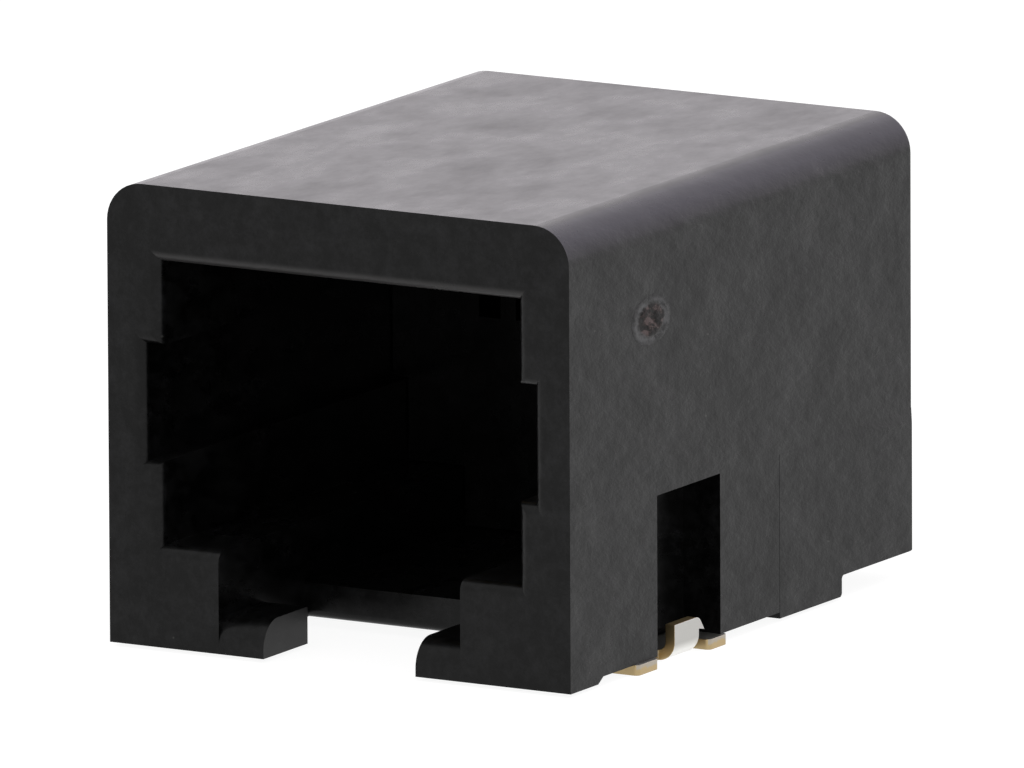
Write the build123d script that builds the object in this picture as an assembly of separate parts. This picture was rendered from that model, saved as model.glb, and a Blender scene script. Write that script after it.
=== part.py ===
from build123d import *
import math
import os

# Right-angle six-position modular jack for surface mounting, latch side towards the board.
# X runs across the jack, Y is counted from the front face and Z from the board, in millimetres.
# The finished pieces are moved so that the origin is the middle of the footprint.

# Plug cavity, seen from the front
plug_width = 9.65
plug_side_gap = 0.015
keyway_depth = 0.43
keyway_lift = 2.0
keyway_height = 2.8
upper_height = 2.02
shoulder_height = 1.45
latch_slot_width = 4.14
rail_width = 1.22
rail_height = 0.89
rail_length = 2.06
rail_round = 0.69
floor_front = 4.03
floor_thickness = 0.85
floor_edge_round = 0.2
mouth_round = 0.28

# Moulded housing, outside
side_wall = 1.005
roof_wall = 0.73
plug_depth = 11.53
foot_gap = 0.1
top_edge_radius = 0.94
rear_corner_radius = 0.25
rear_edge_round = 0.15
front_foot_length = 1.3
front_foot_slope = 0.24
rear_pad_length = 2.96
rear_shelf_length = 3.53
rear_shelf_step = 0.36
rear_pad_round = 0.1
skirt_front_proud = 0.004
skirt_rear_proud = 0.045
skirt_height = 3.98
skirt_fade = 0.35

# Gate mark on the right-hand wall
gate_place = 3.85
gate_drop = 2.83
gate_length = 1.84
gate_height = 1.19
gate_depth = 0.03
gate_stub_share = 0.7
gate_stub_height = 0.02

# Contacts
contact_count = 6
contact_pitch = 1.02
contact_width = 0.45
contact_thickness = 0.25
contact_bend_radius = 0.4
hairpin_radius = 0.5
hairpin_front = 3.83
spring_angle = 16.5
tail_reach = 0.71
groove_side_gap = 0.075
groove_front_gap = 0.25
groove_roof_gap = 0.15
groove_height = 1.1

# Contact insert
insert_length = 4.7
insert_recess = 0.2
insert_gap = 0.04
leg_channel_depth = 0.8
tail_block_side = 0.34
tail_block_length = 2.7
comb_depth = 1.3
comb_room = 0.3
tip_depth = 0.8

# Pocket for the hold-down blade in each side wall
pocket_front = 4.1
pocket_length = 3.0
pocket_roof = 0.43
pocket_lead_in = 0.25

# Hold-down tabs, one each side
tab_thickness = 0.25
tab_foot_reach = 0.11
tab_bend_radius = 0.2
tab_corner_radius = 0.12
tab_inner_width = 1.68
tab_lap = 1.11
front_foot = 0.99
foot_spacing = 2.41
rear_foot = 0.85
blade_proud = 0.05
blade_place = 1.84
blade_width = 1.15
blade_top = 0.88
blade_top_length = 1.16
blade_top_round = 0.3
barb_drop = 0.345
barb_reach = 0.26
barb_undercut = 0.055
tongue_place = 1.3
tongue_width = 1.63
tongue_height = 1.75
tongue_barb = 0.08
tongue_slot_gap = 0.02
tongue_end_gap = 0.3

# Widths and faces that several pieces share
cavity_width = plug_width + 2 * plug_side_gap
keyway_width = cavity_width + 2 * keyway_depth
housing_width = keyway_width + 2 * side_wall
latch_channel_width = latch_slot_width + 2 * rail_width
groove_width = contact_width + 2 * groove_side_gap
tail_block_width = contact_pitch * (contact_count - 1) + groove_width + 2 * tail_block_side
insert_front = plug_depth
insert_rear = insert_front + insert_length
housing_length = insert_rear + insert_recess
overall_length = housing_length + tail_reach
rear_pad_end = housing_length - rear_shelf_length
rear_pad_start = rear_pad_end - rear_pad_length
groove_front = hairpin_front - contact_thickness / 2 - groove_front_gap
leg_line = insert_rear - leg_channel_depth + contact_thickness / 2 + insert_gap
tab_front = pocket_front - tab_lap
front_foot_end = tab_front + front_foot
rear_foot_start = front_foot_end + foot_spacing
tab_rear = rear_foot_start + rear_foot
blade_front = tab_front + blade_place
tongue_front = tab_front + tongue_place

# Levels that several pieces share
underside = tab_thickness
rear_underside = underside + rear_shelf_step
rail_top = foot_gap + rail_height
floor_top = underside + floor_thickness
shoulder_top = floor_top + shoulder_height
keyway_bottom = shoulder_top + keyway_lift
keyway_top = keyway_bottom + keyway_height
cavity_top = keyway_top + upper_height
groove_top = cavity_top + groove_height
housing_top = groove_top + roof_wall
pocket_top = keyway_bottom - pocket_roof
top_run = groove_top - groove_roof_gap - contact_thickness / 2
gate_level = housing_top - gate_drop
to_footprint_middle = Pos(0, -overall_length / 2, 0)

# How closely an edge has to lie on a face to be picked from it
pick_reach = 0.001


def span_box(x_range, y_range, z_range):
    """A box between two values along each axis."""
    size = [high - low for low, high in (x_range, y_range, z_range)]
    middle = [(high + low) / 2 for low, high in (x_range, y_range, z_range)]
    return Pos(*middle) * Box(*size)


def across(width):
    """The range of X that a width takes, centred on the jack."""
    return (-width / 2, width / 2)


def side_prism(points, x_range):
    """A closed outline in Y and Z, extruded along X."""
    outline = make_face(Polyline([(0, y, z) for y, z in points], close=True))
    low, high = x_range
    return Pos(low, 0, 0) * extrude(outline, high - low, dir=(1, 0, 0))


def contact_positions():
    """The X position of each contact, from left to right."""
    first = -contact_pitch * (contact_count - 1) / 2
    return [first + contact_pitch * number for number in range(contact_count)]


def outer_block():
    """The housing's outside, with its feet, raised rear underside and lower skirt."""
    outline = [
        (0, foot_gap),
        (front_foot_length, foot_gap),
        (front_foot_length + front_foot_slope, underside),
        (rear_pad_start, underside),
        (rear_pad_start, foot_gap),
        (rear_pad_end, foot_gap),
        (rear_pad_end, rear_underside),
        (housing_length, rear_underside),
        (housing_length, housing_top),
        (0, housing_top),
    ]
    block = side_prism(outline, across(housing_width))
    top_edges = block.edges().filter_by(Axis.Y).group_by(Axis.Z)[-1]
    block = fillet(top_edges, top_edge_radius)
    rear_face = block.faces().sort_by(Axis.Y)[-1]
    rear_edges = [edge for edge in rear_face.edges() if edge.center().Z > rear_underside + pick_reach]
    block = fillet(rear_edges, rear_edge_round)
    skirt = side_prism(outline, across(housing_width + 2 * skirt_rear_proud)) & skirt_wedge()
    block += skirt
    block = fillet(edges_along(block, housing_length, rear_underside), rear_corner_radius)
    pad_edges = edges_along(block, rear_pad_end, foot_gap) + edges_along(block, rear_pad_end, rear_underside)
    return fillet(pad_edges, rear_pad_round)


def skirt_wedge():
    """The space of the lower skirt, which stands out a little more towards the rear and fades upwards."""
    wall = housing_width / 2
    skirt_top = foot_gap + skirt_height
    half = make_face(Polyline([
        (0, rear_pad_start, 0),
        (wall + skirt_front_proud, rear_pad_start, 0),
        (wall + skirt_rear_proud, housing_length - rear_edge_round, 0),
        (wall + skirt_rear_proud - rear_edge_round, housing_length, 0),
        (0, housing_length, 0),
    ], close=True))
    wedge = extrude(half, skirt_top, dir=(0, 0, 1))
    faded = make_face(Polyline([
        (0, rear_pad_start, 0),
        (wall + skirt_rear_proud, rear_pad_start, 0),
        (wall + skirt_rear_proud, rear_pad_start, skirt_top - skirt_fade),
        (wall, rear_pad_start, skirt_top),
        (0, rear_pad_start, skirt_top),
    ], close=True))
    wedge &= extrude(faded, housing_length - rear_pad_start, dir=(0, 1, 0))
    return wedge + mirror(wedge, Plane.YZ)


def edges_along(block, y, z):
    """The edges that run across the jack at one distance from the front and one level."""
    return [
        edge for edge in block.edges().filter_by(Axis.X)
        if abs(edge.center().Y - y) < pick_reach and abs(edge.center().Z - z) < pick_reach
    ]


def plug_cavity():
    """The stepped space for the plug, its keyways and its latch channel, open front and rear."""
    full = (0, housing_length)
    space = span_box(across(cavity_width), full, (shoulder_top, cavity_top))
    space += span_box(across(keyway_width), full, (keyway_bottom, keyway_top))
    space += span_box(across(latch_channel_width), full, (floor_top, shoulder_top))
    space += span_box(across(latch_channel_width), (0, floor_front), (0, shoulder_top))
    tail_window = (insert_rear - tail_block_length - insert_gap, housing_length)
    space += span_box(across(tail_block_width + 2 * insert_gap), tail_window, (0, shoulder_top))
    return space


def latch_rail():
    """The catch on the right of the latch slot, rounded where the latch rides over it."""
    rail = span_box(
        (latch_slot_width / 2, latch_channel_width / 2), (0, rail_length), (foot_gap, rail_top)
    )
    front_top = rail.edges().filter_by(Axis.X).group_by(Axis.Y)[0].sort_by(Axis.Z)[-1]
    return fillet(front_top, rail_round)


def blade_pocket():
    """The pocket for the right-hand hold-down blade, open at the side and below."""
    inner = housing_width / 2 - side_wall
    outer = housing_width
    rear = pocket_front + pocket_length
    pocket = span_box((inner, outer), (pocket_front, rear), (0, pocket_top))
    lead = make_face(Polyline([
        (inner, pocket_front, underside),
        (inner - pocket_lead_in, pocket_front, underside),
        (inner, pocket_front, underside + pocket_lead_in),
    ], close=True))
    return pocket + extrude(lead, pocket_length, dir=(0, 1, 0))


def tongue_line():
    """The X position of the inner face of the right-hand hold-down tongue."""
    return housing_width / 2 + tab_foot_reach - tab_inner_width - tab_thickness


def tongue_slot():
    """The blind slot that grips the right-hand hold-down tongue, cut back where the strip bends."""
    inner = tongue_line() - tongue_slot_gap
    outer = tongue_line() + tab_thickness + tongue_slot_gap
    front = tongue_front - tongue_slot_gap
    length = tongue_width + 2 * tongue_slot_gap
    slot = span_box((inner, outer), (front, front + length), (0, tongue_height + tongue_end_gap))
    lead = make_face(Polyline([
        (outer, front, underside),
        (outer + tab_bend_radius, front, underside),
        (outer, front, underside + tab_bend_radius),
    ], close=True))
    return slot + extrude(lead, length, dir=(0, 1, 0))


def gate_recess():
    """The shallow oval on the right-hand wall, with the torn stub standing in it."""
    wall = housing_width / 2
    face = Plane(origin=(wall, gate_place, gate_level), x_dir=(0, 1, 0), z_dir=(1, 0, 0))
    recess = extrude(face * Ellipse(gate_length / 2, gate_height / 2), gate_depth, both=True)
    stub_length = gate_length / 2 * gate_stub_share
    stub_height = gate_height / 2 * gate_stub_share
    floor = face.offset(-gate_depth)
    stub = extrude(floor * Ellipse(stub_length, stub_height), gate_stub_height)
    return recess - stub


def mouth_edges(body):
    """The edges of the plug opening on the front face, down to the latch channel."""
    return ShapeList(
        edge for edge in body.edges()
        if abs(edge.center().Y) < pick_reach
        and shoulder_top - pick_reach < edge.center().Z < cavity_top + pick_reach
        and abs(edge.center().X) < keyway_width / 2 + pick_reach
    )


def make_housing():
    """The moulded housing, one piece."""
    body = outer_block() - plug_cavity()
    rail = latch_rail()
    body += rail + mirror(rail, Plane.YZ)
    for x in contact_positions():
        body -= span_box(
            (x - groove_width / 2, x + groove_width / 2), (groove_front, housing_length), (cavity_top, groove_top)
        )
    body = fillet(mouth_edges(body), mouth_round)
    body = fillet(edges_along(body, floor_front, underside), floor_edge_round)
    for cut in (blade_pocket(), tongue_slot()):
        body -= cut
        body -= mirror(cut, Plane.YZ)
    return body - gate_recess()


def make_insert():
    """The contact insert, slid in from the rear on its two keys."""
    gap = insert_gap
    length = (insert_front, insert_rear)
    insert = span_box(across(cavity_width - 2 * gap), length, (shoulder_top + gap, cavity_top - gap))
    insert += span_box(across(keyway_width - 2 * gap), length, (keyway_bottom + gap, keyway_top - gap))
    insert += span_box(across(latch_channel_width - 2 * gap), length, (floor_top + gap, shoulder_top + gap))
    tail_block = (insert_rear - tail_block_length, insert_rear)
    insert += span_box(across(tail_block_width), tail_block, (rear_underside, shoulder_top + gap))
    for x in contact_positions():
        slot = (x - groove_width / 2, x + groove_width / 2)
        insert -= span_box(slot, (insert_rear - leg_channel_depth, insert_rear), (0, cavity_top))
        comb_floor = spring_level(insert_front + tip_depth) - contact_thickness - comb_room
        insert -= span_box(slot, (insert_front, insert_front + comb_depth), (comb_floor, cavity_top))
    return insert


def spring_level(y):
    """The height of the spring's centre line at a distance y from the front face."""
    slope = math.radians(spring_angle)
    start_y = hairpin_front + hairpin_radius - hairpin_radius * math.sin(slope)
    start_z = top_run - hairpin_radius - hairpin_radius * math.cos(slope)
    return start_z - (y - start_y) * math.tan(slope)


def make_contact(x):
    """One contact: solder tail, leg up the rear, run along the roof, hairpin and free spring."""
    tail_level = contact_thickness / 2
    tip_y = insert_front + tip_depth
    corner_y = tip_y - (top_run - spring_level(tip_y)) / math.tan(math.radians(spring_angle))
    path = FilletPolyline(
        (x, overall_length, tail_level),
        (x, leg_line, tail_level),
        (x, leg_line, top_run),
        (x, corner_y, top_run),
        (x, tip_y, spring_level(tip_y)),
        radius=[contact_bend_radius, contact_bend_radius, hairpin_radius],
    )
    start = Plane(origin=path @ 0, x_dir=(1, 0, 0), z_dir=path % 0)
    return sweep(start * Rectangle(contact_width, contact_thickness), path=path)


def bent_leg(face_x, bend_towards, y_range, top):
    """A strip that lies flat under the housing and turns up, its outer face at face_x."""
    middle_x = face_x - bend_towards * tab_thickness / 2
    middle_radius = tab_bend_radius + tab_thickness / 2
    flat_end_x = middle_x - bend_towards * (middle_radius + tab_thickness)
    path = FilletPolyline(
        (flat_end_x, y_range[0], tab_thickness / 2),
        (middle_x, y_range[0], tab_thickness / 2),
        (middle_x, y_range[0], top),
        radius=middle_radius,
    )
    start = Plane(origin=path @ 0, x_dir=(0, 1, 0), z_dir=path % 0)
    width = y_range[1] - y_range[0]
    strip = sweep(start * Rectangle(width, tab_thickness), path=path)
    return Pos(0, width / 2, 0) * strip


def make_tab():
    """The right-hand hold-down: a flat base with two feet, an outer blade and an inner tongue."""
    wall = housing_width / 2
    foot_edge = wall + tab_foot_reach
    blade_face = wall + blade_proud
    inner_face = tongue_line()
    base_outer = blade_face - tab_bend_radius - tab_thickness
    base_inner = inner_face + tab_bend_radius + tab_thickness

    base = span_box((base_inner, foot_edge), (tab_front, tab_rear), (0, tab_thickness))
    base -= span_box((base_outer, foot_edge), (front_foot_end, rear_foot_start), (0, tab_thickness))
    corners = base.edges().filter_by(Axis.Z).group_by(Axis.X)[-1]
    base = fillet(corners, tab_corner_radius)

    blade_rear = blade_front + blade_width
    barb_tip = blade_rear + barb_reach
    barb_level = blade_top - barb_drop
    blade_outline = [
        (blade_front, 0),
        (blade_rear, 0),
        (blade_rear, barb_level + barb_undercut),
        (barb_tip, barb_level),
        (blade_front + blade_top_length, blade_top),
        (blade_front, blade_top),
    ]
    blade = bent_leg(blade_face, 1, (blade_front, barb_tip), blade_top)
    blade &= side_prism(blade_outline, (base_outer, foot_edge))
    top_corner = blade.edges().filter_by(Axis.X).group_by(Axis.Z)[-1].sort_by(Axis.Y)[-1]
    blade = fillet(top_corner, blade_top_round)

    tongue_rear = tongue_front + tongue_width
    neck = tongue_barb
    tongue_outline = [
        (tongue_front + neck, 0),
        (tongue_rear - neck, 0),
        (tongue_rear - neck, tongue_height / 2),
        (tongue_rear, tongue_height / 2),
        (tongue_rear - 2 * neck, tongue_height),
        (tongue_front + 2 * neck, tongue_height),
        (tongue_front, tongue_height / 2),
        (tongue_front + neck, tongue_height / 2),
    ]
    tongue = bent_leg(inner_face, -1, (tongue_front, tongue_rear), tongue_height)
    tongue &= side_prism(tongue_outline, (inner_face, base_inner))
    return base + blade + tongue


os.makedirs("parts", exist_ok=True)
right_tab = make_tab()
pieces = {
    "housing": make_housing(),
    "contact_insert": make_insert(),
    "solder_tab_right": right_tab,
    "solder_tab_left": mirror(right_tab, Plane.YZ),
}
for number, contact_x in enumerate(contact_positions(), start=1):
    pieces[f"contact_{number}"] = make_contact(contact_x)
for name, piece in pieces.items():
    export_step(to_footprint_middle * piece, f"parts/{name}.step")
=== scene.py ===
import math

import bmesh
import bpy
from mathutils import Matrix, Vector, noise


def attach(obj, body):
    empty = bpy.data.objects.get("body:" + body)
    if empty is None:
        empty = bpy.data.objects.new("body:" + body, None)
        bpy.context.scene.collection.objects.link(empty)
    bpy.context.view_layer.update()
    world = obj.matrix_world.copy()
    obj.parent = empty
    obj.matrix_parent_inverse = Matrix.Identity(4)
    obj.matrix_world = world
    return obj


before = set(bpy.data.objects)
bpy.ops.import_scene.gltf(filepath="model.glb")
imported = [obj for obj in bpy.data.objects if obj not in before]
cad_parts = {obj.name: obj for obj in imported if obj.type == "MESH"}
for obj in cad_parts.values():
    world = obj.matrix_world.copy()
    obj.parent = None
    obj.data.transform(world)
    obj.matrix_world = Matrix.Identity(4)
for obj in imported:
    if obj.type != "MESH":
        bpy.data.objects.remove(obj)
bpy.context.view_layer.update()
print("frame loaded:", len(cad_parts), "nodes")

mm = 0.001
noiseMiddle = 0.5                    # what a noise texture averages
mixColours = {"data_type": "RGBA"}   # settings of a Mix node for colours
firstColour, secondColour = 6, 7     # its sockets for them, which share their names with others


def toLinear(hexColour):
    shares = [int(hexColour[i:i + 2], 16) / 255 for i in (1, 3, 5)]
    return [s / 12.92 if s <= 0.04045 else ((s + 0.055) / 1.055) ** 2.4 for s in shares] + [1.0]


def perMetre(sizeInMm):
    return 1 / (sizeInMm * mm)   # texture scale for a pattern of this size


def clamp(value):
    return max(0.0, min(1.0, value))


# An input is a number, a colour, a socket, or a node, which stands for the first of its outputs in use
def addNode(tree, kind, settings=None, inputs=None):
    node = tree.nodes.new(kind)
    for name, value in (settings or {}).items():
        setattr(node, name, value)
    for place, value in (inputs or {}).items():
        if isinstance(value, bpy.types.Node):
            value = next(output for output in value.outputs if output.enabled)
        if isinstance(value, bpy.types.NodeSocket):
            tree.links.new(value, node.inputs[place])
        else:
            node.inputs[place].default_value = value
    return node


def newMaterial(name):
    material = bpy.data.materials.new(name)
    material.use_nodes = True
    material.node_tree.nodes.clear()
    return material, material.node_tree


def newObject(name, data):
    made = bpy.data.objects.new(name, data)
    bpy.context.scene.collection.objects.link(made)
    return made


def dress(nodeName, material):
    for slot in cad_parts[nodeName].material_slots:
        slot.material = material


# Black glass-filled nylon, injection moulded in a spark-eroded mould. It gives the eye a matte black with
# nearly no mirror image, much paler at a low angle, a very fine grain, cloudy flow marks and a few pale
# fibre ends.
housingNylon = {
    "darkResin": "#030303",
    "paleResin": "#1d1d1e",
    "mottleLimits": (0.44, 0.76),   # noise values at which the resin is all dark and all pale
    "fibreColour": "#3c3c3a",
    "speckSpacing": 1.5,            # mm between the fibre ends
    "speckWidth": 0.035,
    "speckCore": 0.2,               # share of that width in which a speck has its full colour
    "roughness": 0.3,
    "roughnessSpread": 0.06,
    "cloudLimits": (0.3, 0.7),      # noise values of the glossiest and the dullest skin
    "ior": 1.53,
    "specularLevel": 0.165,         # the grain traps most of the straight-on reflection
    "patterns": {                   # width in mm, finer levels, and the share of each that the next one keeps
        "mottle": (0.5, 6.0, 0.85),   # pale and dark resin mixed in clouds down to the finest grain
        "clouds": (1.5, 5.0, 0.7),
        "waves": (1.2, 5.0, 0.5),     # faint unevenness of the moulded skin
        "grain": (0.055, 2.0, 0.6),   # real grain is 0.02 to 0.04 mm and would hardly show
    },
    "flowStretch": 2.04,            # the melt ran from the gate to the rear and down, which draws clouds out
    "flowTilt": -13.0,              # degrees from level
    "grainHeight": 0.0048,          # mm
    "waveHeight": 0.1,
    "reliefOnTop": 0.15,            # the roof was moulded against a smoother face than the walls
    "reliefInside": 0.15,           # and the cores that made the cavity were polished
    "coreReach": 5.6,               # mm, from the middle to each side
    "coreFront": -8.5,              # mm, from the middle of the footprint
    "paintedSheenColour": "#323039",       # painted sheen: the rounded top edges are painted paler and cooler than the walls
    "paintedLightFrom": 9.2,              # mm above the board, where the painted sheen and the painted lip light start
    "paintedSheenWall": (0.1, 0.62),      # upward part of the surface direction, where it starts and is full
    "paintedSheenRoof": (0.985, 0.93),
    "paintedLipLight": "#333232",          # painted bounce light: the opening's upper lip, where plugs go in, is painted paler where it faces down
    "lipReach": -8.25,              # mm, from the middle of the footprint
    "lipFacing": (-0.05, -0.4),     # upward part of the surface direction, as above
}

# The insert is the same family of resin from another mould, polished a little smoother
insertNylon = dict(housingNylon, paleResin="#151516", roughness=0.26, grainHeight=0.002, waveHeight=0.02)


def makeResin(name, values):
    material, tree = newMaterial(name)
    coordinates = addNode(tree, "ShaderNodeTexCoord").outputs
    upward = addNode(tree, "ShaderNodeSeparateXYZ", inputs={"Vector": coordinates["Normal"]}).outputs["Z"]
    at = addNode(tree, "ShaderNodeSeparateXYZ", inputs={"Vector": coordinates["Object"]}).outputs
    drawn = addNode(tree, "ShaderNodeMapping", {"vector_type": "TEXTURE"}, {
        "Vector": coordinates["Object"], "Rotation": (math.radians(values["flowTilt"]), 0.0, 0.0),
        "Scale": (1.0, values["flowStretch"], 1.0)})
    patterns = {}
    for pattern, (width, levels, kept) in values["patterns"].items():
        patterns[pattern] = addNode(tree, "ShaderNodeTexNoise", inputs={
            "Vector": drawn, "Scale": perMetre(width), "Detail": levels, "Roughness": kept})

    allDark, allPale = values["mottleLimits"]
    resin = addNode(tree, "ShaderNodeMapRange", inputs={
        "Value": patterns["mottle"], "From Min": allDark, "From Max": allPale})
    colour = addNode(tree, "ShaderNodeMix", mixColours, {
        "Factor": resin, firstColour: toLinear(values["darkResin"]),
        secondColour: toLinear(values["paleResin"])})
    specks = addNode(tree, "ShaderNodeTexVoronoi", inputs={
        "Vector": drawn, "Scale": perMetre(values["speckSpacing"])})
    speckEdge = values["speckWidth"] / values["speckSpacing"]
    speckMask = addNode(tree, "ShaderNodeMapRange", inputs={
        "Value": specks, "From Min": values["speckCore"] * speckEdge, "From Max": speckEdge,
        "To Min": 1.0, "To Max": 0.0})
    colour = addNode(tree, "ShaderNodeMix", mixColours, {
        "Factor": speckMask, firstColour: colour, secondColour: toLinear(values["fibreColour"])})

    # painted sheen on the rounded top edges, and painted bounce light on the underside of the opening's lip
    nearTop = addNode(tree, "ShaderNodeMath", {"operation": "GREATER_THAN"}, {
        0: at["Z"], 1: values["paintedLightFrom"] * mm})
    atMouth = addNode(tree, "ShaderNodeMath", {"operation": "LESS_THAN"}, {
        0: at["Y"], 1: values["lipReach"] * mm})
    nearLip = addNode(tree, "ShaderNodeMath", {"operation": "MULTIPLY"}, {0: nearTop, 1: atMouth})
    for paintedColour, place, facings in (("paintedSheenColour", nearTop, ("paintedSheenWall", "paintedSheenRoof")),
                                   ("paintedLipLight", nearLip, ("lipFacing",))):
        mask = place
        for facing in facings:
            starts, isFull = values[facing]
            turned = addNode(tree, "ShaderNodeMapRange", inputs={
                "Value": upward, "From Min": starts, "From Max": isFull})
            mask = addNode(tree, "ShaderNodeMath", {"operation": "MULTIPLY"}, {0: mask, 1: turned})
        colour = addNode(tree, "ShaderNodeMix", mixColours, {
            "Factor": mask, firstColour: colour, secondColour: toLinear(values[paintedColour])})

    glossiest, dullest = values["cloudLimits"]
    roughness = addNode(tree, "ShaderNodeMapRange", inputs={
        "Value": patterns["clouds"], "From Min": glossiest, "From Max": dullest,
        "To Min": values["roughness"] - values["roughnessSpread"],
        "To Max": values["roughness"] + values["roughnessSpread"]})

    # the relief is fainter on the roof and in the cavity
    fromMiddle = addNode(tree, "ShaderNodeMath", {"operation": "ABSOLUTE"}, {0: at["X"]})
    withinSides = addNode(tree, "ShaderNodeMath", {"operation": "LESS_THAN"}, {
        0: fromMiddle, 1: values["coreReach"] * mm})
    behindFront = addNode(tree, "ShaderNodeMath", {"operation": "GREATER_THAN"}, {
        0: at["Y"], 1: values["coreFront"] * mm})
    inside = addNode(tree, "ShaderNodeMath", {"operation": "MULTIPLY"}, {0: withinSides, 1: behindFront})
    reliefOnTop = addNode(tree, "ShaderNodeMapRange", inputs={
        "Value": upward, "To Min": 1.0, "To Max": values["reliefOnTop"]})
    reliefInside = addNode(tree, "ShaderNodeMapRange", inputs={
        "Value": inside, "To Min": 1.0, "To Max": values["reliefInside"]})
    relief = addNode(tree, "ShaderNodeMath", {"operation": "MULTIPLY"}, {0: reliefOnTop, 1: reliefInside})
    unevenness = addNode(tree, "ShaderNodeBump", inputs={
        "Height": patterns["waves"], "Strength": relief, "Distance": values["waveHeight"] * mm})
    bump = addNode(tree, "ShaderNodeBump", inputs={
        "Height": patterns["grain"], "Strength": relief, "Distance": values["grainHeight"] * mm,
        "Normal": unevenness})

    shader = addNode(tree, "ShaderNodeBsdfPrincipled", inputs={
        "Base Color": colour, "Roughness": roughness, "IOR": values["ior"],
        "Specular IOR Level": values["specularLevel"], "Normal": bump})
    addNode(tree, "ShaderNodeOutputMaterial", inputs={"Surface": shader})
    return material


# Pre-tinned brass strip, stamped and bent: dull silvery tin on the rolled faces, bare brass on the cut edges,
# with tin dragged part of the way down each cut by the punch
tabStrip = {
    "tin": "#b9b8b4",
    "tinRoughness": 0.36,
    "paintedFloorReflection": "#efeeea",      # painted reflection of the white floor, on the faces turned down
    "floorReflectionFacing": (-0.1, -0.6),  # upward part of the surface direction, where it starts and is full
    "brass": "#b5a078",
    "brassRoughness": 0.4,
    "stripThickness": 0.25,         # mm
    "cutSideways": 0.35,            # parts of the surface direction from which a face is a cut edge
    "cutUpwards": 0.5,
    "cutOutwards": 0.5,
    "bladeFrom": 0.4,               # mm above the board, past the bend
    "footTo": 0.255,
    "bladeFront": -3.76,            # mm, from the middle of the footprint
    "bladeRear": -2.3,
    "smearedTin": "#aca496",
    "smearReach": 0.14,             # mm of the cut that the punch covered with tin
    "smearWidth": 0.3,
    "smearDetail": 3.0,
    "smearFade": 0.05,
    "rollingWidth": 0.03,           # mm between the faint rolling lines
    "rollingDetail": 2.0,
    "rollingDraw": (1.0, 0.06, 1.0),   # less than 1 along the way that the lines run
    "rollingHeight": 0.0012,
    "edgeRadius": 0.03,
    "edgeSamples": 4,
}


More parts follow.
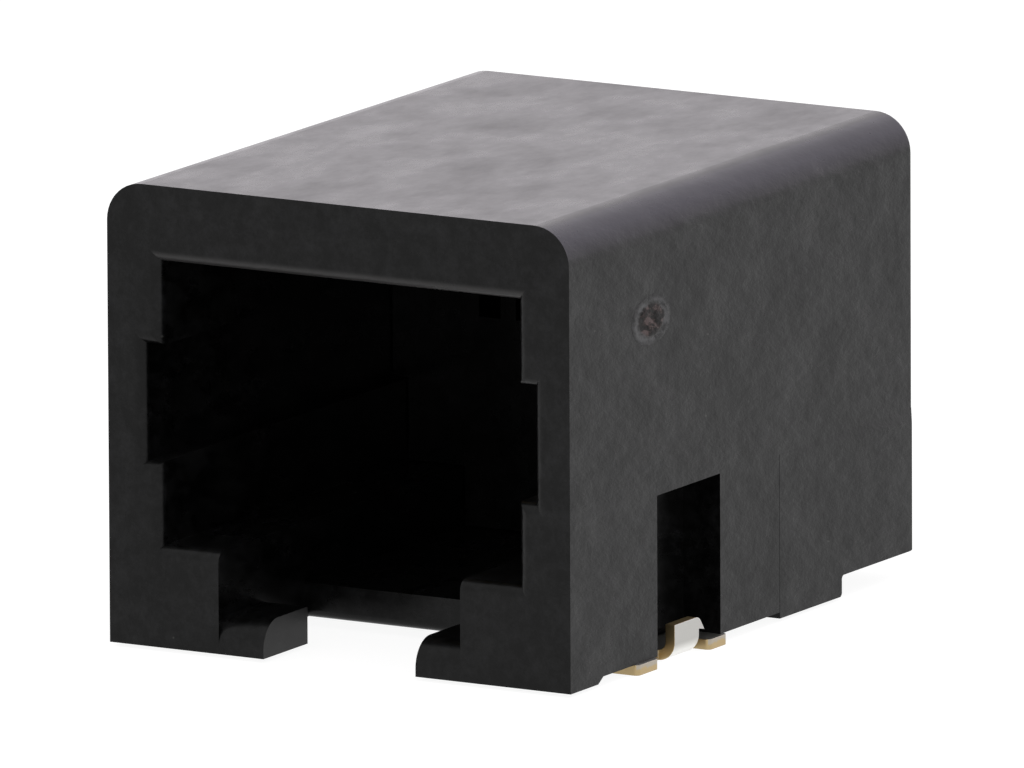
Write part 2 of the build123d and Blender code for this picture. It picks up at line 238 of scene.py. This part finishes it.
def makeTabMetal(values):
    material, tree = newMaterial("preTinnedBrass")
    coordinates = addNode(tree, "ShaderNodeTexCoord").outputs
    at = addNode(tree, "ShaderNodeSeparateXYZ", inputs={"Vector": coordinates["Object"]}).outputs
    facing = addNode(tree, "ShaderNodeSeparateXYZ", inputs={"Vector": coordinates["Normal"]}).outputs
    turned = {axis: addNode(tree, "ShaderNodeMath", {"operation": "ABSOLUTE"}, {0: facing[axis]})
              for axis in "XYZ"}

    # where a face is a cut edge of the strip: the blade's sides and top, and the feet's outer edges
    masks = {}
    for mask, value, test, limit in (
            ("sideways", turned["Y"], "GREATER_THAN", values["cutSideways"]),
            ("upwards", turned["Z"], "GREATER_THAN", values["cutUpwards"]),
            ("outwards", turned["X"], "GREATER_THAN", values["cutOutwards"]),
            ("inBlade", at["Z"], "GREATER_THAN", values["bladeFrom"] * mm),
            ("inFoot", at["Z"], "LESS_THAN", values["footTo"] * mm),
            ("beforeBlade", at["Y"], "LESS_THAN", values["bladeFront"] * mm),
            ("behindBlade", at["Y"], "GREATER_THAN", values["bladeRear"] * mm)):
        masks[mask] = addNode(tree, "ShaderNodeMath", {"operation": test}, {0: value, 1: limit})
    for mask, operation, first, second in (
            ("bladeEnd", "MULTIPLY", "upwards", "inBlade"),
            ("besideBlade", "MAXIMUM", "beforeBlade", "behindBlade"),
            ("outerFoot", "MULTIPLY", "outwards", "inFoot"),
            ("footEdge", "MULTIPLY", "outerFoot", "besideBlade"),
            ("bladeEdge", "MAXIMUM", "sideways", "bladeEnd"),
            ("cut", "MAXIMUM", "bladeEdge", "footEdge")):
        masks[mask] = addNode(tree, "ShaderNodeMath", {"operation": operation}, {
            0: masks[first], 1: masks[second]})

    # the tin that the punch dragged over the upper part of the feet's cut edges, with a ragged lower edge
    ragged = addNode(tree, "ShaderNodeTexNoise", inputs={
        "Vector": coordinates["Object"], "Scale": perMetre(values["smearWidth"]),
        "Detail": values["smearDetail"]})
    reach = addNode(tree, "ShaderNodeMath", {"operation": "MULTIPLY"}, {
        0: ragged, 1: values["smearReach"] * mm / noiseMiddle})
    depth = addNode(tree, "ShaderNodeMath", {"operation": "SUBTRACT"}, {
        0: values["stripThickness"] * mm, 1: at["Z"]})
    within = addNode(tree, "ShaderNodeMath", {"operation": "SUBTRACT"}, {0: reach, 1: depth})
    smeared = addNode(tree, "ShaderNodeMapRange", inputs={
        "Value": within, "From Min": 0.0, "From Max": values["smearFade"] * mm})
    smeared = addNode(tree, "ShaderNodeMath", {"operation": "MULTIPLY"}, {0: smeared, 1: masks["footEdge"]})

    # painted reflection: tin that faces down is painted paler, as if it mirrored the white floor
    starts, isFull = values["floorReflectionFacing"]
    underBend = addNode(tree, "ShaderNodeMapRange", inputs={
        "Value": facing["Z"], "From Min": starts, "From Max": isFull})
    cutColour = addNode(tree, "ShaderNodeMix", mixColours, {
        "Factor": smeared, firstColour: toLinear(values["brass"]),
        secondColour: toLinear(values["smearedTin"])})
    tinColour = addNode(tree, "ShaderNodeMix", mixColours, {
        "Factor": underBend, firstColour: toLinear(values["tin"]),
        secondColour: toLinear(values["paintedFloorReflection"])})
    colour = addNode(tree, "ShaderNodeMix", mixColours, {
        "Factor": masks["cut"], firstColour: tinColour, secondColour: cutColour})
    roughness = addNode(tree, "ShaderNodeMapRange", inputs={
        "Value": masks["cut"], "To Min": values["tinRoughness"], "To Max": values["brassRoughness"]})

    drawn = addNode(tree, "ShaderNodeMapping", inputs={
        "Vector": coordinates["Object"], "Scale": values["rollingDraw"]})
    lines = addNode(tree, "ShaderNodeTexNoise", inputs={
        "Vector": drawn, "Scale": perMetre(values["rollingWidth"]), "Detail": values["rollingDetail"]})
    softEdges = addNode(tree, "ShaderNodeBevel", {"samples": values["edgeSamples"]}, {
        "Radius": values["edgeRadius"] * mm})
    bump = addNode(tree, "ShaderNodeBump", inputs={
        "Height": lines, "Distance": values["rollingHeight"] * mm, "Normal": softEdges})
    shader = addNode(tree, "ShaderNodeBsdfPrincipled", inputs={
        "Base Color": colour, "Metallic": 1.0, "Roughness": roughness, "Normal": bump})
    addNode(tree, "ShaderNodeOutputMaterial", inputs={"Surface": shader})
    return material


# Phosphor bronze, stamped: bright gold over nickel on the springs, and dull silvery tin on the solder tails
contactWire = {
    "gold": "#e0b765",
    "goldRoughness": 0.22,
    "tin": "#c9c7c0",
    "tinRoughness": 0.42,
    "tinFrom": 7.5,                 # mm, from the middle of the footprint towards the rear
    "rollingWidth": 0.04,           # mm
    "rollingDetail": 2.0,
    "rollingDraw": (1.0, 0.05, 0.05),
    "rollingHeight": 0.0006,
}


def makeContactMetal(values):
    material, tree = newMaterial("goldPlatedBronze")
    place = addNode(tree, "ShaderNodeTexCoord").outputs["Object"]
    rearward = addNode(tree, "ShaderNodeSeparateXYZ", inputs={"Vector": place}).outputs["Y"]
    tinned = addNode(tree, "ShaderNodeMath", {"operation": "GREATER_THAN"}, {
        0: rearward, 1: values["tinFrom"] * mm})
    colour = addNode(tree, "ShaderNodeMix", mixColours, {
        "Factor": tinned, firstColour: toLinear(values["gold"]), secondColour: toLinear(values["tin"])})
    roughness = addNode(tree, "ShaderNodeMapRange", inputs={
        "Value": tinned, "To Min": values["goldRoughness"], "To Max": values["tinRoughness"]})
    drawn = addNode(tree, "ShaderNodeMapping", inputs={"Vector": place, "Scale": values["rollingDraw"]})
    lines = addNode(tree, "ShaderNodeTexNoise", inputs={
        "Vector": drawn, "Scale": perMetre(values["rollingWidth"]), "Detail": values["rollingDetail"]})
    bump = addNode(tree, "ShaderNodeBump", inputs={
        "Height": lines, "Distance": values["rollingHeight"] * mm})
    shader = addNode(tree, "ShaderNodeBsdfPrincipled", inputs={
        "Base Color": colour, "Metallic": 1.0, "Roughness": roughness, "Normal": bump})
    addNode(tree, "ShaderNodeOutputMaterial", inputs={"Surface": shader})
    return material


dress("housing", makeResin("mouldedNylonHousing", housingNylon))
dress("contact_insert", makeResin("mouldedNylonInsert", insertNylon))
tabMetal = makeTabMetal(tabStrip)
dress("solder_tab_left", tabMetal)
dress("solder_tab_right", tabMetal)
contactMetal = makeContactMetal(contactWire)
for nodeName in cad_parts:
    if nodeName.startswith("contact_") and nodeName != "contact_insert":
        dress(nodeName, contactMetal)
print("materials on every node")


# The gate mark in the shallow oval on the right-hand wall: a soft witness rim round the stub that was left
# when the runner was snapped off
gateMark = {
    "middle": (6.275, -4.72, 8.37),   # mm, on the wall
    "length": 1.86,
    "height": 1.21,
    "skin": 0.001,
    "rimPlace": 0.86,                 # shares of the oval's radius
    "rimWidth": 0.08,
    "rimHeight": 0.006,               # mm
    "tornFrom": 0.74,                 # shares of the radius, where the tear starts and where it is full
    "tornTo": 0.5,
    "tornHeight": 0.045,              # mm
    "tornLow": -0.007,
    "tearWidth": 0.26,
    "tearMiddle": 0.4,                # share of the torn height, and what the noise adds to it or takes away
    "tearSwing": 0.6,
    "tearNoise": (0.9, 2.0, 4),       # how fast finer levels fade, how much finer each one is, their number
    "coreShare": 0.64,                # inside this the plastic is torn open, and dull
    "coreWander": 0.14,
    "rings": 22,
    "spokes": 72,
    "seed": 4.3,
}


def makeGateMark(values):
    mesh = bpy.data.meshes.new("gateMark")
    shape = bmesh.new()
    wall, alongY, level = values["middle"]
    tilt = math.radians(housingNylon["flowTilt"])

    def surfacePoint(share, angle):
        y = alongY + values["length"] / 2 * share * math.cos(angle)
        z = level + values["height"] / 2 * share * math.sin(angle)
        along = math.cos(tilt) * y + math.sin(tilt) * z
        across = math.cos(tilt) * z - math.sin(tilt) * y
        where = Vector((values["seed"], along / housingNylon["flowStretch"], across)) / values["tearWidth"]
        tear = clamp(values["tearMiddle"] + values["tearSwing"] * noise.fractal(where, *values["tearNoise"]))
        torn = clamp((values["tornFrom"] - share) / (values["tornFrom"] - values["tornTo"]))
        torn = torn * torn * (3 - 2 * torn)   # eased at both ends
        rim = values["rimHeight"] * math.exp(-((share - values["rimPlace"]) / values["rimWidth"]) ** 2)
        rough = values["tornLow"] + tear * values["tornHeight"]
        x = wall + values["skin"] + (1 - torn) * rim + torn * rough
        return Vector((x, y, z)) * mm

    centre = shape.verts.new(surfacePoint(0, 0))
    previous = None
    for ring in range(1, values["rings"] + 1):
        share = ring / values["rings"]
        current = [shape.verts.new(surfacePoint(share, 2 * math.pi * k / values["spokes"]))
                   for k in range(values["spokes"])]
        for k in range(values["spokes"]):
            following = (k + 1) % values["spokes"]
            if previous is None:
                shape.faces.new((centre, current[k], current[following]))
            else:
                shape.faces.new((previous[k], current[k], current[following], previous[following]))
        previous = current
    shape.to_mesh(mesh)
    shape.free()

    # the torn core has the second material
    for face in mesh.polygons:
        face.use_smooth = True
        ring = face.index // values["spokes"] + 1
        wander = values["coreWander"] * noise.noise(face.center / (values["tearWidth"] * mm))
        face.material_index = int(ring / values["rings"] < values["coreShare"] + wander)
    return newObject("gateMark", mesh)


# The same nylon where it was pulled apart: a paler rim, and a rough torn middle stained bruised brown
tornNylon = {
    "dark": "#080605",
    "bruise": "#1f1715",
    "pale": "#453a3b",
    "stainValues": (0.46, 0.52, 0.58),   # noise values at which each of those three is pure
    "patchWidth": 0.21,               # mm
    "patchPattern": (3.0, 0.6),       # finer levels, and the share of each that the next one keeps
    "rim": "#464647",
    "rimFrom": 0.6,                   # shares of the oval's radius
    "rimTo": 0.72,
    "rimFades": 0.8,
    "rimWander": 0.5,
    "rimPatchWidth": 0.45,            # mm, the rim is paler in patches
    "rimPattern": (4.0, 0.7),
    "skin": "#0f0f0f",
    "skinValues": (0.56, 0.42),       # noise values at which the rim keeps none and most of its skin colour
    "skinShare": 0.9,
    "roughness": 0.42,
    "ior": 1.53,
    "specularLevel": 0.16,
    "crumbWidth": 0.06,               # mm
    "crumbDetail": 3.0,
    "crumbHeight": 0.012,
}

# Torn open, it has no skin left to shine
tornCore = dict(tornNylon, dark="#0a0706", bruise="#241c1a", pale="#4e4241", roughness=0.5,
                specularLevel=0.118)


def makeTornNylon(name, values, oval):
    material, tree = newMaterial(name)
    place = addNode(tree, "ShaderNodeTexCoord").outputs["Object"]
    drawn = addNode(tree, "ShaderNodeMapping", {"vector_type": "TEXTURE"}, {
        "Vector": place, "Rotation": (math.radians(housingNylon["flowTilt"]), 0.0, 0.0),
        "Scale": (1.0, housingNylon["flowStretch"], 1.0)})

    # the stains of the torn middle
    levels, kept = values["patchPattern"]
    patches = addNode(tree, "ShaderNodeTexNoise", inputs={
        "Vector": drawn, "Scale": perMetre(values["patchWidth"]), "Detail": levels, "Roughness": kept})
    torn = addNode(tree, "ShaderNodeValToRGB", inputs={"Fac": patches})
    stains = torn.color_ramp.elements
    stains.new(noiseMiddle)
    for stain, position, colour in zip(stains, values["stainValues"], ("dark", "bruise", "pale")):
        stain.position = position
        stain.color = toLinear(values[colour])

    # the share of the way from the oval's middle to its edge, wandering with the stains
    fromMiddle = addNode(tree, "ShaderNodeVectorMath", {"operation": "SUBTRACT"}, {
        0: place, 1: [part * mm for part in oval["middle"]]})
    inRadii = addNode(tree, "ShaderNodeVectorMath", {"operation": "MULTIPLY"}, {
        0: fromMiddle, 1: (0.0, 2 / (oval["length"] * mm), 2 / (oval["height"] * mm))})
    share = addNode(tree, "ShaderNodeVectorMath", {"operation": "LENGTH"}, {0: inRadii})
    offMiddle = addNode(tree, "ShaderNodeMath", {"operation": "SUBTRACT"}, {0: patches, 1: noiseMiddle})
    wander = addNode(tree, "ShaderNodeMath", {"operation": "MULTIPLY"}, {
        0: offMiddle, 1: values["rimWander"]})
    share = addNode(tree, "ShaderNodeMath", {"operation": "ADD"}, {0: share, 1: wander})

    # the paler rim, which keeps its skin colour in patches and towards the edge
    levels, kept = values["rimPattern"]
    rimPatches = addNode(tree, "ShaderNodeTexNoise", inputs={
        "Vector": drawn, "Scale": perMetre(values["rimPatchWidth"]), "Detail": levels, "Roughness": kept})
    none, most = values["skinValues"]
    skinPatches = addNode(tree, "ShaderNodeMapRange", inputs={
        "Value": rimPatches, "From Min": none, "From Max": most, "To Max": values["skinShare"]})
    edgeMask = addNode(tree, "ShaderNodeMapRange", inputs={
        "Value": share, "From Min": values["rimFades"], "From Max": 1.0})
    skinMask = addNode(tree, "ShaderNodeMath", {"operation": "MAXIMUM"}, {0: edgeMask, 1: skinPatches})
    rim = addNode(tree, "ShaderNodeMix", mixColours, {
        "Factor": skinMask, firstColour: toLinear(values["rim"]), secondColour: toLinear(values["skin"])})
    rimMask = addNode(tree, "ShaderNodeMapRange", inputs={
        "Value": share, "From Min": values["rimFrom"], "From Max": values["rimTo"]})
    colour = addNode(tree, "ShaderNodeMix", mixColours, {
        "Factor": rimMask, firstColour: torn, secondColour: rim})

    crumbs = addNode(tree, "ShaderNodeTexNoise", inputs={
        "Vector": drawn, "Scale": perMetre(values["crumbWidth"]), "Detail": values["crumbDetail"]})
    bump = addNode(tree, "ShaderNodeBump", inputs={
        "Height": crumbs, "Distance": values["crumbHeight"] * mm})
    shader = addNode(tree, "ShaderNodeBsdfPrincipled", inputs={
        "Base Color": colour, "Roughness": values["roughness"], "IOR": values["ior"],
        "Specular IOR Level": values["specularLevel"], "Normal": bump})
    addNode(tree, "ShaderNodeOutputMaterial", inputs={"Surface": shader})
    return material


mark = makeGateMark(gateMark)
mark.data.materials.append(makeTornNylon("paleRimNylon", tornNylon, gateMark))
mark.data.materials.append(makeTornNylon("tornNylon", tornCore, gateMark))
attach(mark, "root")
print("gate mark made")


# Pale paper on the floor of a white room
studio = {
    "floorSize": 6.0,               # metres
    "floorColour": "#e8e8e8",
    "floorGlow": 0.92,              # what the camera and reflections see of the floor in full shade
    "floorShadowShare": 0.2,        # how strongly light and shadow still show on it
    "skyColour": "#ffffff",
    "skyForDiffuse": 0.75,          # how strongly the room lights the object
}

# Two soft lamps: one above, and a wide one low behind the object, which the top and the rounded edge mirror
lamps = {
    "softTop": {"place": (0.12, -0.1, 0.5), "size": (0.4, 0.4), "power": 0.6, "colour": "#ffffff"},
    "softBack": {"place": (0.06, 0.48, 0.21), "size": (1.1, 0.6), "power": 1.25, "colour": "#fdeffc"},
}

# The photo's own view, solved from the object's straight edges: rounding any of these numbers shifts it
photoCamera = {
    "place": (0.3474617, -0.600944, 0.1444208),   # metres
    "azimuth": 30.0529,                           # degrees to the right of the front
    "elevation": 11.3243,
    "roll": -0.2584,
    "lens": 1049.29,                              # mm
    "sensor": 36.0,
    "clip": (0.05, 50.0),                         # metres
}


def seenDirectly(tree):
    rays = addNode(tree, "ShaderNodeLightPath").outputs
    seen = rays["Is Camera Ray"]
    for ray in ("Is Glossy Ray", "Is Transmission Ray"):
        seen = addNode(tree, "ShaderNodeMath", {"operation": "MAXIMUM"}, {0: seen, 1: rays[ray]})
    return seen


def makeFloor(values):
    bpy.ops.mesh.primitive_plane_add(size=values["floorSize"], location=(0, 0, 0))
    floor = bpy.context.active_object
    floor.name = "floor"
    material, tree = newMaterial("palePaper")
    paper = addNode(tree, "ShaderNodeBsdfDiffuse", inputs={"Color": toLinear(values["floorColour"])})
    faint = addNode(tree, "ShaderNodeBsdfDiffuse", inputs={
        "Color": [values["floorShadowShare"]] * 3 + [1.0]})
    glow = addNode(tree, "ShaderNodeEmission", inputs={"Strength": values["floorGlow"]})
    shown = addNode(tree, "ShaderNodeAddShader", inputs={0: faint, 1: glow})
    mixed = addNode(tree, "ShaderNodeMixShader", inputs={0: seenDirectly(tree), 1: paper, 2: shown})
    addNode(tree, "ShaderNodeOutputMaterial", inputs={"Surface": mixed})
    floor.data.materials.append(material)


def makeSurroundings(values):
    world = bpy.data.worlds.new("whiteRoom")
    bpy.context.scene.world = world
    world.use_nodes = True
    tree = world.node_tree
    tree.nodes.clear()
    strength = addNode(tree, "ShaderNodeMapRange", inputs={
        "Value": seenDirectly(tree), "To Min": values["skyForDiffuse"], "To Max": 1.0})
    sky = addNode(tree, "ShaderNodeBackground", inputs={
        "Color": toLinear(values["skyColour"]), "Strength": strength})
    addNode(tree, "ShaderNodeOutputWorld", inputs={"Surface": sky})


def makeLamp(name, values):
    light = bpy.data.lights.new(name, "AREA")
    light.shape = "RECTANGLE"
    light.size, light.size_y = values["size"]
    light.energy = values["power"]
    light.color = toLinear(values["colour"])[:3]
    lamp = newObject(name, light)
    lamp.location = values["place"]
    lamp.rotation_euler = (-lamp.location).to_track_quat("-Z", "Y").to_euler()


def makeCamera(values):
    azimuth, elevation, roll = (math.radians(values[key]) for key in ("azimuth", "elevation", "roll"))
    level = math.cos(elevation)
    back = Vector((math.sin(azimuth) * level, -math.cos(azimuth) * level, math.sin(elevation)))
    right = (-back).cross(Vector((0, 0, 1))).normalized()
    up = right.cross(-back)
    rolledRight = math.cos(roll) * right + math.sin(roll) * up
    rolledUp = math.cos(roll) * up - math.sin(roll) * right
    turn = Matrix((rolledRight, rolledUp, back)).transposed().to_4x4()
    view = bpy.data.cameras.new("photoView")
    view.lens = values["lens"]
    view.sensor_width = values["sensor"]
    view.clip_start, view.clip_end = values["clip"]
    camera = newObject("photoView", view)
    camera.matrix_world = Matrix.Translation(values["place"]) @ turn
    bpy.context.scene.camera = camera


makeFloor(studio)
makeSurroundings(studio)
for lampName, lampValues in lamps.items():
    makeLamp(lampName, lampValues)
makeCamera(photoCamera)
bpy.context.scene.view_settings.view_transform = "Standard"
print("floor, light and camera ready")
